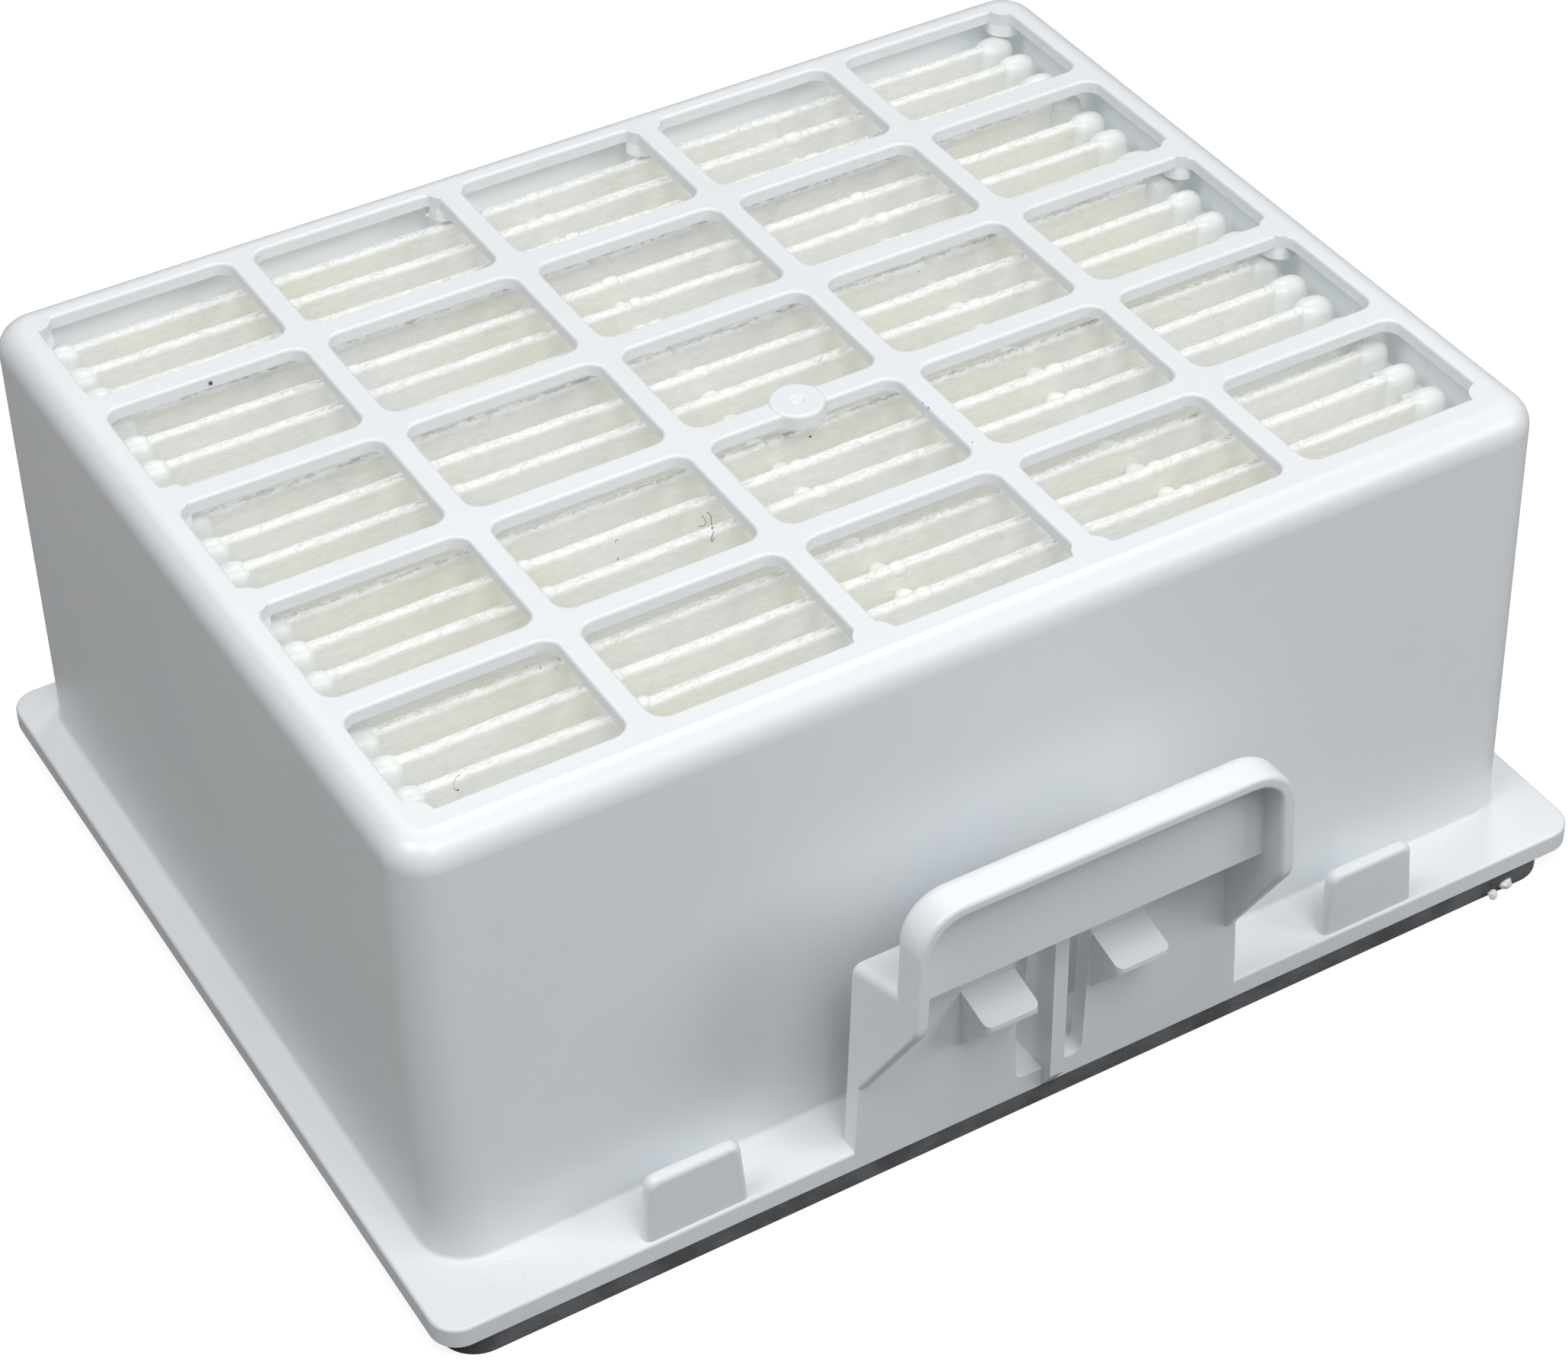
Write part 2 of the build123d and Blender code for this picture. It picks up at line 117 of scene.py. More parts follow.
# Specks: a point on the camera's sight line, half sizes in millimetres, finish and carrier
CRUMBS = (
    ((56.90, -57.10, 1.60), (0.75, 0.50, 0.55), "milky_hot_glue", "seal"),
    ((55.60, -56.90, 0.90), (0.55, 0.45, 0.50), "milky_hot_glue", "seal"),
    ((-47.24, 26.35, 55.65), (0.19, 0.17, 0.19), "dark_dust", "housing"),
    ((0.85, -10.10, 53.00), (0.12, 0.10, 0.10), "dark_dust", "paper"),
    ((25.65, 9.36, 52.50), (0.07, 0.07, 0.05), "dark_dust", "paper"),
    ((9.37, 10.91, 52.50), (0.07, 0.07, 0.05), "dark_dust", "paper"),
    ((-52.33, -38.34, 52.60), (0.10, 0.08, 0.06), "dark_dust", "paper"),
    ((-24.43, -16.73, 52.60), (0.08, 0.06, 0.05), "dark_dust", "paper"),
    ((-38.18, -27.10, 52.40), (0.07, 0.07, 0.05), "dark_dust", "paper"),
    ((-14.44, -17.39, 52.60), (0.09, 0.09, 0.08), "dark_dust", "paper"),
    ((11.38, -23.44, 56.50), (0.08, 0.08, 0.03), "grey_dust", "housing"),
    ((10.83, -15.29, 56.40), (0.10, 0.07, 0.05), "grey_dust", "housing"),
    ((10.87, -16.22, 56.40), (0.14, 0.09, 0.07), "grey_dust", "housing"),
    ((10.92, -16.56, 56.50), (0.10, 0.08, 0.06), "bright_fibre", "housing"),
    ((-14.09, 45.15, 54.75), (0.16, 0.16, 0.10), "milky_hot_glue", "housing"),
    ((-13.94, 45.15, 54.41), (0.11, 0.13, 0.24), "milky_hot_glue", "housing"),
    ((-13.85, 45.15, 53.50), (0.34, 0.22, 0.26), "milky_hot_glue", "housing"),
)


def size(name, value, text, low=0.0, high=1.0):
    """A length in metres that the sidebar shows."""
    return bpy.props.FloatProperty(
        name=name, description=text, default=value, min=low, max=high, unit="LENGTH", precision=5
    )


def amount(name, value, text, low=0.0, high=1.0):
    """A plain number that the sidebar shows."""
    return bpy.props.FloatProperty(name=name, description=text, default=value, min=low, max=high, precision=3)


def count(name, value, text, low=0):
    """A whole number that the sidebar shows."""
    return bpy.props.IntProperty(name=name, description=text, default=value, min=low)


def colour(name, value, text):
    """A colour that the sidebar shows."""
    return bpy.props.FloatVectorProperty(
        name=name, description=text, default=value, size=3, min=0.0, max=1.0, subtype="COLOR"
    )


class SheetSizes(bpy.types.PropertyGroup):
    """Sizes of the folded paper."""

    pleats: count("Pleats", 19, "Number of folds at the top", 3)
    thickness: size("Thickness", 0.44 * MM, "Thickness of the paper")
    fold_radius: size("Fold radius", 0.5 * MM, "Radius of a fold at the middle of the paper")
    sway: size("Sway", 0.28 * MM, "How far a crest wanders from a straight line")
    ripple: size("Ripple", 0.12 * MM, "Height of the small dents in the paper")
    cuts: count("Cuts", 70, "Cross cuts along a pleat", 4)


class GlueSizes(bpy.types.PropertyGroup):
    """Sizes of the glue on the pack."""

    finger_width: size("Finger width", 3.1 * MM, "Width of the glue over one pleat end")
    finger_dome: size("Finger dome", 1.45 * MM, "Height of a finger's rounded top")
    finger_overlap: size("Finger overlap", 1.6 * MM, "How far a finger climbs over the end of the paper")
    ledge_drop: size("Ledge drop", 2.8 * MM, "Depth of the glue between the fingers below their tops")
    pad_width: size("Pad width", 2.3 * MM, "Width of the glue over a fold, along the box")
    pad_cover: size("Pad cover", 0.1 * MM, "Thickness of that glue on the sides of a fold")
    web_drop: size("Web drop", 2.4 * MM, "Depth of the glue between two folds below the pads")
    web_depth: size("Web depth", 2.4 * MM, "Height of the glue between two folds")
    grain: size("Grain", 0.2 * MM, "Cell size at which drops of glue run together")


class Litter(bpy.types.PropertyGroup):
    """Loose fibres, hairs and specks."""

    fibres: count("Fibres", 4200, "Number of loose paper fibres")
    fibre_radius: size("Fibre radius", 0.02 * MM, "Radius of a paper fibre")
    # The fluffy skin along a crest is pale and partly paints the highlight on the crest tops.
    wool_width: size("Wool width", 0.85 * MM, "Width of the fluffy skin along a crest")
    wool_step: size("Wool step", 0.32 * MM, "Spacing of its points")
    hair_radius: size("Hair radius", 0.028 * MM, "Radius of a hair")
    seed: count("Seed", 11, "Start of the random numbers")


class Finishes(bpy.types.PropertyGroup):
    """Colours of the finishes, and the strengths of painted glows."""

    plastic: colour("Plastic", (0.83, 0.86, 0.88), "White moulded plastic")
    paper: colour("Paper", (0.70, 0.71, 0.695), "Filter paper in the light")
    cream: colour("Cream", (0.70, 0.70, 0.655), "Filter paper in its creamy patches")
    # Colour of the painted highlight along the tops of the folds.
    crest: colour("Crest", (0.84, 0.845, 0.835), "Filter paper along a fold")
    glue: colour("Glue", (0.78, 0.80, 0.79), "Milky hot glue")
    soaked_glue: colour("Soaked glue", (0.80, 0.805, 0.775), "Glue over the folds")
    # The three glows are painted light: emission standing in for light that comes through the plastic, the glue
    # and the paper.
    painted_wall_glow: amount("Wall glow", 0.12, "Light that comes through the walls to their inner faces")
    painted_glue_glow: amount("Glue glow", 0.09, "Light that has soaked through the glue")
    painted_paper_glow: amount("Paper glow", 0.26, "Light that has soaked through the pack of paper")
    foam: colour("Foam", (0.085, 0.09, 0.095), "Dark foam strip")
    dust: colour("Dust", (0.05, 0.045, 0.04), "Hairs and specks")


class StageSizes(bpy.types.PropertyGroup):
    """Camera and light."""

    lens: amount("Lens", 88.45, "Focal length in millimetres", 10, 300)
    key: amount("Key light", 1.6, "Power of the small high light at the back right", 0, 100)
    front: amount("Front light", 4.1, "Power of the high light in front", 0, 100)
    back: amount("Back light", 1.2, "Power of the high light at the back", 0, 100)
    side: amount("Side light", 2.7, "Power of the light at the front right", 0, 100)
    left: amount("Left light", 4.0, "Power of the high light at the left", 0, 100)
    sky: amount("Sky", 0.04, "Strength of the even light", 0, 4)
    floor_tone: amount("Floor tone", 0.3, "How much light the floor gives back to the object")


def deselect():
    """Object mode with nothing selected, so that an operator acts on its own piece alone."""
    if bpy.context.object is not None and bpy.context.object.mode != "OBJECT":
        bpy.ops.object.mode_set(mode="OBJECT")
    bpy.ops.object.select_all(action="DESELECT")


def select_only(piece):
    """Makes a piece the only selected one and the active one."""
    deselect()
    piece.select_set(True)
    bpy.context.view_layer.objects.active = piece


def settle(piece):
    """Puts a piece's place into its mesh, so that its object sits at the origin."""
    select_only(piece)
    bpy.ops.object.transform_apply(location=True, rotation=True, scale=True)


def join(pieces, name):
    """Joins several pieces into the first one."""
    deselect()
    for piece in pieces:
        piece.select_set(True)
    bpy.context.view_layer.objects.active = pieces[0]
    bpy.ops.object.join()
    pieces[0].name = name
    return pieces[0]


def copy_of(piece, name):
    """A copy of a piece with a mesh of its own."""
    twin = piece.copy()
    twin.data = piece.data.copy()
    twin.name = name
    bpy.context.collection.objects.link(twin)
    return twin


def apply_modifiers(piece):
    """Applies every modifier of a piece in order."""
    select_only(piece)
    for modifier in list(piece.modifiers):
        bpy.ops.object.modifier_apply(modifier=modifier.name)


def thicken_down(piece, depth):
    """Extrudes an open sheet straight down into a closed slab."""
    select_only(piece)
    bpy.ops.object.mode_set(mode="EDIT")
    bpy.ops.mesh.select_all(action="SELECT")
    bpy.ops.mesh.extrude_region_move(TRANSFORM_OT_translate={"value": (0, 0, -depth)})
    bpy.ops.mesh.select_all(action="SELECT")
    bpy.ops.mesh.normals_make_consistent(inside=False)
    bpy.ops.object.mode_set(mode="OBJECT")


def shade_soft(piece, degrees):
    """Smooth shading, with edges sharper than the angle kept."""
    select_only(piece)
    bpy.ops.object.shade_smooth_by_angle(angle=math.radians(degrees))


def dress(piece, material):
    """Gives a piece one material."""
    piece.data.materials.clear()
    piece.data.materials.append(material)


class Nodes:
    """Short ways to add and join the nodes of one tree."""

    def __init__(self, tree):
        self.tree = tree

    def add(self, kind, place=(0, 0), **settings):
        node = self.tree.nodes.new(kind)
        node.location = place
        for key, value in settings.items():
            node.inputs[key].default_value = value
        return node

    def link(self, output, socket):
        self.tree.links.new(output, socket)

    def noise(self, vector, scale, detail=4.0, roughness=0.55, place=(0, 0)):
        node = self.add("ShaderNodeTexNoise", place)
        node.inputs["Scale"].default_value = scale
        node.inputs["Detail"].default_value = detail
        node.inputs["Roughness"].default_value = roughness
        self.link(vector, node.inputs["Vector"])
        return node.outputs["Fac"]

    def math(self, operation, first, second=None, place=(0, 0)):
        node = self.add("ShaderNodeMath", place)
        node.operation = operation
        for socket, value in zip(node.inputs, (first, second)):
            if value is None:
                continue
            if isinstance(value, (int, float)):
                socket.default_value = value
            else:
                self.link(value, socket)
        return node.outputs[0]

    def band(self, value, low, high, place=(0, 0)):
        """0 below low, 1 above high, smooth between."""
        node = self.add("ShaderNodeMapRange", place)
        node.interpolation_type = "SMOOTHSTEP"
        node.inputs["From Min"].default_value = low
        node.inputs["From Max"].default_value = high
        self.link(value, node.inputs["Value"])
        return node.outputs["Result"]

    def mix(self, factor, first, second, place=(0, 0), blend="MIX"):
        """Mix of two colours, each a socket or an RGB triple."""
        node = self.add("ShaderNodeMix", place)
        node.data_type = "RGBA"
        node.blend_type = blend
        if isinstance(factor, (int, float)):
            node.inputs["Factor"].default_value = factor
        else:
            self.link(factor, node.inputs["Factor"])
        for key, value in (("A", first), ("B", second)):
            socket = next(s for s in node.inputs if s.name == key and s.type == "RGBA")
            if isinstance(value, (tuple, list)):
                socket.default_value = (*value[:3], 1.0)
            else:
                self.link(value, socket)
        return next(s for s in node.outputs if s.type == "RGBA")

    def bump(self, height, strength, distance, place=(0, 0), normal=None):
        node = self.add("ShaderNodeBump", place)
        node.inputs["Strength"].default_value = strength
        node.inputs["Distance"].default_value = distance
        self.link(height, node.inputs["Height"])
        if normal is not None:
            self.link(normal, node.inputs["Normal"])
        return node.outputs["Normal"]


def group_tree(name, inputs, outputs):
    """A shader node group with named sockets; gives its helper, input node and output node."""
    tree = bpy.data.node_groups.new(name, "ShaderNodeTree")
    for label, kind, value in inputs:
        socket = tree.interface.new_socket(label, in_out="INPUT", socket_type=kind)
        if value is not None:
            socket.default_value = value
    for label, kind in outputs:
        tree.interface.new_socket(label, in_out="OUTPUT", socket_type=kind)
    nodes = Nodes(tree)
    return nodes, nodes.add("NodeGroupInput", (-900, 0)), nodes.add("NodeGroupOutput", (700, 0))


def mottle_group():
    """Slow and fine unevenness of a surface: a mask from 0 to 1 and a height."""
    nodes, given, result = group_tree(
        "Surface mottle",
        [
            ("Vector", "NodeSocketVector", None),
            ("Broad scale", "NodeSocketFloat", 60.0),
            ("Fine scale", "NodeSocketFloat", 900.0),
            ("Fine share", "NodeSocketFloat", 0.3),
        ],
        [("Mask", "NodeSocketFloat"), ("Height", "NodeSocketFloat")],
    )
    broad = nodes.add("ShaderNodeTexNoise", (-600, 150), Detail=3.0)
    fine = nodes.add("ShaderNodeTexNoise", (-600, -150), Detail=2.0)
    for node, scale in ((broad, "Broad scale"), (fine, "Fine scale")):
        nodes.link(given.outputs["Vector"], node.inputs["Vector"])
        nodes.link(given.outputs[scale], node.inputs["Scale"])
    blend = nodes.add("ShaderNodeMix", (-250, 0))
    nodes.link(given.outputs["Fine share"], blend.inputs["Factor"])
    nodes.link(broad.outputs["Fac"], blend.inputs["A"])
    nodes.link(fine.outputs["Fac"], blend.inputs["B"])
    nodes.link(nodes.band(broad.outputs["Fac"], 0.35, 0.65, (100, 150)), result.inputs["Mask"])
    nodes.link(blend.outputs["Result"], result.inputs["Height"])
    return nodes.tree


def inside_group():
    """The inner faces of the walls, where a painted glow stands in for light from outside that reaches through
    the plastic.
    """
    nodes, given, result = group_tree(
        "Inside of the box",
        [("Vector", "NodeSocketVector", None), ("Normal", "NodeSocketVector", None)],
        [("Mask", "NodeSocketFloat")],
    )
    flat = nodes.add("ShaderNodeVectorMath", (-700, 150))
    flat.operation = "MULTIPLY"
    flat.inputs[1].default_value = (1.0, 1.0, 0.0)
    nodes.link(given.outputs["Vector"], flat.inputs[0])
    towards = nodes.add("ShaderNodeVectorMath", (-500, 150))
    towards.operation = "DOT_PRODUCT"
    nodes.link(flat.outputs["Vector"], towards.inputs[0])
    nodes.link(given.outputs["Normal"], towards.inputs[1])
    split = nodes.add("ShaderNodeSeparateXYZ", (-700, -150))
    nodes.link(given.outputs["Vector"], split.inputs["Vector"])
    away = nodes.math("ABSOLUTE", split.outputs["Y"], None, (-500, -50))
    near = nodes.math("LESS_THAN", away, INNER_HALF_DEPTH, (-300, -50))
    below = nodes.math("LESS_THAN", split.outputs["Z"], RIB_UNDERSIDE, (-300, -200))
    inward = nodes.math("LESS_THAN", towards.outputs["Value"], -WALL_DISTANCE, (-300, 150))
    plan = nodes.math("MULTIPLY", inward, near, (-100, 100))
    nodes.link(nodes.math("MULTIPLY", plan, below, (200, 0)), result.inputs["Mask"])
    return nodes.tree


def new_material(name):
    """A material with a Principled shader; gives it, its helper, the shader and object coordinates."""
    material = bpy.data.materials.new(name)
    material.use_nodes = True
    nodes = Nodes(material.node_tree)
    shader = material.node_tree.nodes["Principled BSDF"]
    place = nodes.add("ShaderNodeTexCoord", (-1500, 0))
    return material, nodes, shader, place.outputs["Object"]


def placed_group(nodes, tree, vector, place, **values):
    """An instance of a node group fed with coordinates and values."""
    node = nodes.add("ShaderNodeGroup", place)
    node.node_tree = tree
    nodes.link(vector, node.inputs["Vector"])
    for key, value in values.items():
        node.inputs[key.replace("_", " ")].default_value = value
    return node


def plastic_material(finishes, groups):
    """Glossy white moulding with a very fine skin, faint sink marks and a painted glow on the inner faces of
    the walls.
    """
    material, nodes, shader, where = new_material("moulded_white_plastic")
    mottle = placed_group(nodes, groups["mottle"], where, (-1100, 200), Broad_scale=28.0, Fine_scale=1400.0)
    base = tuple(finishes.plastic)
    shaded = tuple(c * k for c, k in zip(base, (0.975, 0.98, 0.985)))
    nodes.link(nodes.mix(mottle.outputs["Mask"], shaded, base, (-700, 250)), shader.inputs["Base Color"])
    shader.inputs["Roughness"].default_value = 0.32
    nodes.link(nodes.bump(mottle.outputs["Height"], 0.05, 0.2 * MM, (-400, -200)), shader.inputs["Normal"])
    shader.inputs["IOR"].default_value = 1.5
    # Painted glow: the inner faces of the walls emit in the plastic's colour, in place of light coming through
    # the walls.
    face = nodes.add("ShaderNodeNewGeometry", (-950, -550))
    soaked = placed_group(nodes, groups["inside"], where, (-700, -450))
    nodes.link(face.outputs["True Normal"], soaked.inputs["Normal"])
    glow = nodes.math("MULTIPLY", soaked.outputs["Mask"], finishes.painted_wall_glow, (-400, -450))
    nodes.link(glow, shader.inputs["Emission Strength"])
    shader.inputs["Emission Color"].default_value = (*base, 1.0)
    return material


def paper_material(finishes, groups):
    """Fibrous filter paper: crests whitened by a painted highlight, creamy patches, fibres along the pleats,
    and a painted glow for light that soaks through.
    """
    material, nodes, shader, where = new_material("fibrous_filter_paper")
    mottle = placed_group(nodes, groups["mottle"], where, (-1100, 300), Broad_scale=110.0, Fine_scale=2200.0)
    height = nodes.add("ShaderNodeSeparateXYZ", (-1250, -100))
    nodes.link(where, height.inputs["Vector"])
    # Painted highlight: the paper turns whiter near the tops of the folds, broken up by fibre noise.
    top = SHEET[1].z
    crest = nodes.band(height.outputs["Z"], top - 0.5 * MM, top - 0.15 * MM, (-1000, -50))
    streak = nodes.add("ShaderNodeMapping", (-1250, -350))
    streak.inputs["Scale"].default_value = (0.3, 1.0, 1.0)
    nodes.link(where, streak.inputs["Vector"])
    fibres = nodes.noise(streak.outputs["Vector"], 2400.0, 6.0, 0.7, (-1000, -350))
    patches = nodes.noise(where, 45.0, 2.0, 0.5, (-1000, 550))
    patchy = nodes.band(patches, 0.4, 0.68, (-750, 550))
    cream = nodes.mix(patchy, tuple(finishes.paper), tuple(finishes.cream), (-500, 450))
    wool = nodes.math("MULTIPLY", crest, nodes.band(fibres, 0.25, 0.55, (-750, 50)), (-550, 50))
    painted_crest_highlight = nodes.mix(wool, cream, tuple(finishes.crest), (-300, 350))
    fleck = nodes.band(fibres, 0.3, 0.7, (-750, -300))
    darker = nodes.mix(fleck, (0.93, 0.93, 0.91), (1.0, 1.0, 1.0), (-500, -250))
    tone = nodes.mix(1.0, painted_crest_highlight, darker, (-100, 250), "MULTIPLY")
    nodes.link(tone, shader.inputs["Base Color"])
    coarse = nodes.bump(mottle.outputs["Height"], 0.3, 0.4 * MM, (-300, -150))
    skin = nodes.bump(fibres, 0.5, 0.22 * MM, (-100, -250), coarse)
    nodes.link(skin, shader.inputs["Normal"])
    shader.inputs["Roughness"].default_value = 0.7
    shader.inputs["Sheen Weight"].default_value = 0.25
    shader.inputs["Sheen Roughness"].default_value = 0.4
    through = nodes.add("ShaderNodeBsdfTranslucent", (100, -350))
    nodes.link(tone, through.inputs["Color"])
    mix = nodes.add("ShaderNodeMixShader", (350, 0))
    mix.inputs["Fac"].default_value = 0.3
    nodes.link(shader.outputs["BSDF"], mix.inputs[1])
    nodes.link(through.outputs["BSDF"], mix.inputs[2])
    # Painted glow: the paper emits in its own tone, in place of light soaking through the pack and bouncing
    # between the folds.
    glow = nodes.add("ShaderNodeEmission", (350, -250))
    glow.inputs["Strength"].default_value = finishes.painted_paper_glow
    nodes.link(tone, glow.inputs["Color"])
    both = nodes.add("ShaderNodeAddShader", (550, 0))
    nodes.link(mix.outputs["Shader"], both.inputs[0])
    nodes.link(glow.outputs["Emission"], both.inputs[1])
    nodes.link(both.outputs["Shader"], material.node_tree.nodes["Material Output"].inputs["Surface"])
    return material


def glue_material(finishes, groups, name, base):
    """Milky, half clear hot glue, with a painted glow."""
    material, nodes, shader, where = new_material(name)
    mottle = placed_group(nodes, groups["mottle"], where, (-1100, 100), Broad_scale=260.0, Fine_scale=900.0)
    deep = tuple(c * k for c, k in zip(base, (0.95, 0.96, 0.94)))
    nodes.link(nodes.mix(mottle.outputs["Mask"], deep, base, (-500, 200)), shader.inputs["Base Color"])
    nodes.link(nodes.bump(mottle.outputs["Height"], 0.1, 0.4 * MM, (-400, -200)), shader.inputs["Normal"])
    shader.inputs["Roughness"].default_value = 0.3
    shader.inputs["IOR"].default_value = 1.47
    shader.inputs["Subsurface Weight"].default_value = 0.3
    shader.inputs["Subsurface Radius"].default_value = (1.0, 1.0, 0.95)
    shader.inputs["Subsurface Scale"].default_value = 2.0 * MM
    # Painted glow: the glue emits in its own colour, in place of light soaking through it.
    shader.inputs["Emission Color"].default_value = (*base, 1.0)
    shader.inputs["Emission Strength"].default_value = finishes.painted_glue_glow
    return material


def foam_material(finishes, groups):
    """Dark closed-cell foam."""
    material, nodes, shader, where = new_material("dark_foam_strip")
    mottle = placed_group(
        nodes, groups["mottle"], where, (-1100, 100), Broad_scale=180.0, Fine_scale=2400.0, Fine_share=0.6
    )
    base = tuple(finishes.foam)
    pale = tuple(c * 1.7 for c in base)
    nodes.link(nodes.mix(mottle.outputs["Mask"], base, pale, (-500, 200)), shader.inputs["Base Color"])
    nodes.link(nodes.bump(mottle.outputs["Height"], 0.5, 0.4 * MM, (-400, -200)), shader.inputs["Normal"])
    shader.inputs["Roughness"].default_value = 0.8
    return material


def plain_material(name, tone, roughness):
    """One colour with a trace of mottling."""
    material, nodes, shader, where = new_material(name)
    cloud = nodes.noise(where, 3000.0, 2.0, 0.5, (-900, 0))
    nodes.link(nodes.mix(cloud, tuple(c * 0.8 for c in tone), tone, (-500, 0)), shader.inputs["Base Color"])
    shader.inputs["Roughness"].default_value = roughness
    return material


class Folds:
    """Where the folds lie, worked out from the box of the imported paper."""

    def __init__(self, sizes):
        low, high = SHEET
        self.outer = sizes.fold_radius + sizes.thickness / 2
        self.crest_level = high.z - self.outer
        self.valley_level = low.z + self.outer
        self.middle = (low.y + high.y) / 2
        self.pleats = sizes.pleats
        drop = self.crest_level - self.valley_level
        half = (high.y - low.y) / 2
        self.pitch = 2 * half / sizes.pleats
        for _ in range(12):
            spread = math.hypot(self.pitch / 2, drop)
            self.lean = math.atan2(self.pitch / 2, drop) - math.asin(2 * sizes.fold_radius / spread)
            across, up = math.cos(self.lean), math.sin(self.lean)
            foot = self.crest_level + self.outer * up - low.z
            self.pitch = 2 * (half - self.outer * across - foot * up / across) / (sizes.pleats - 1)

    def crests(self):
        return [self.middle + (i - (self.pleats - 1) / 2) * self.pitch for i in range(self.pleats)]


def fold_points(sizes):
    """Middle line of the folded paper across the box, as y and z, from front to back."""
    folds = Folds(sizes)
    across, up = math.cos(folds.lean), math.sin(folds.lean)
    radius = sizes.fold_radius
    foot_level = SHEET[0].z + sizes.thickness / 4
    first = folds.crests()[0]
    foot = folds.crest_level + radius * up - foot_level
    points = [(first - radius * across - foot * up / across, foot_level)]
    turns = [math.radians(a) for a in range(22, 180, 22)]
    for crest in folds.crests():
        points += split_leg(points[-1], (crest - radius * across, folds.crest_level + radius * up))
        points += arc(crest, folds.crest_level, radius, math.pi - folds.lean, turns, -1, folds.lean)
        points.append((crest + radius * across, folds.crest_level + radius * up))
        if crest != folds.crests()[-1]:
            valley = crest + folds.pitch / 2
            points += split_leg(points[-1], (valley - radius * across, folds.valley_level - radius * up))
            points += arc(valley, folds.valley_level, radius, math.pi + folds.lean, turns, 1, folds.lean)
            points.append((valley + radius * across, folds.valley_level - radius * up))
    points += split_leg(points[-1], (2 * folds.middle - points[0][0], foot_level))
    return points


def arc(y, z, radius, start, turns, way, lean):
    """Points of one fold between its two legs."""
    share = (math.pi - 2 * lean) / math.pi
    angles = [start + way * turn * share for turn in turns]
    return [(y + radius * math.cos(a), z + radius * math.sin(a)) for a in angles]


def split_leg(start, end, parts=(0.06, 0.16, 0.4, 0.84, 1.0)):
    """Points down a straight leg, closer together near its upper end."""
    shares = parts if start[1] > end[1] else [1 - p for p in reversed(parts[:-1])] + [1.0]
    return [(start[0] + (end[0] - start[0]) * p, start[1] + (end[1] - start[1]) * p) for p in shares]


def fold_sheet(sizes):
    """Extrudes one edge along the folds, cuts it crosswise and thickens it."""
    points = fold_points(sizes)
    low, high = SHEET
    deselect()
    bpy.ops.mesh.primitive_plane_add(size=1, location=(0, 0, 0))
    sheet = bpy.context.object
    sheet.name = "filter_paper"
    for vertex in sheet.data.vertices:
        vertex.co = ((low.x if vertex.co.x < 0 else high.x), points[0][0], points[0][1])
    bpy.ops.object.mode_set(mode="EDIT")
    bpy.ops.mesh.select_all(action="SELECT")
    bpy.ops.mesh.remove_doubles(threshold=1e-5)
    bpy.ops.mesh.select_mode(type="EDGE")
    last = points[0]
    for point in points[1:]:
        step = (0, point[0] - last[0], point[1] - last[1])
        bpy.ops.mesh.extrude_edges_move(TRANSFORM_OT_translate={"value": step})
        last = point
    bpy.ops.object.mode_set(mode="OBJECT")
    long_edges = [
        abs(sheet.data.vertices[e.vertices[0]].co.x - sheet.data.vertices[e.vertices[1]].co.x) > MM
        for e in sheet.data.edges
    ]
    bpy.ops.object.mode_set(mode="EDIT")
    bpy.ops.mesh.select_all(action="DESELECT")
    bpy.ops.object.mode_set(mode="OBJECT")
    sheet.data.edges.foreach_set("select", long_edges)
    bpy.ops.object.mode_set(mode="EDIT")
    bpy.ops.mesh.subdivide(number_cuts=sizes.cuts)
    bpy.ops.object.mode_set(mode="OBJECT")
    for vertex in sheet.data.vertices:
        vertex.co += paper_wander(vertex.co, sizes)
    thick = sheet.modifiers.new("thickness", "SOLIDIFY")
    thick.thickness = sizes.thickness
    thick.offset = 0
    apply_modifiers(sheet)
    shade_soft(sheet, 60)
    return sheet


def paper_wander(point, sizes):
    """Sway of the folds and small dents, faded out at the glued ends."""
    low, high = SHEET
    free = min(1.0, (high.x - abs(point.x)) / (4 * MM))
    upper = max(0.0, (point.z - low.z) / (high.z - low.z))
    sway = noise.noise(Vector((point.x * 45, point.y * 160, 3.0)))
    dent = noise.noise(Vector((point.x * 260, point.y * 420, point.z * 320)))
    dip = noise.noise(Vector((point.x * 190, point.y * 300, 11.0)))
    return Vector((
        0,
        (sway * sizes.sway + dent * sizes.ripple) * free,
        -abs(dip) * sizes.ripple * free * upper,
    ))


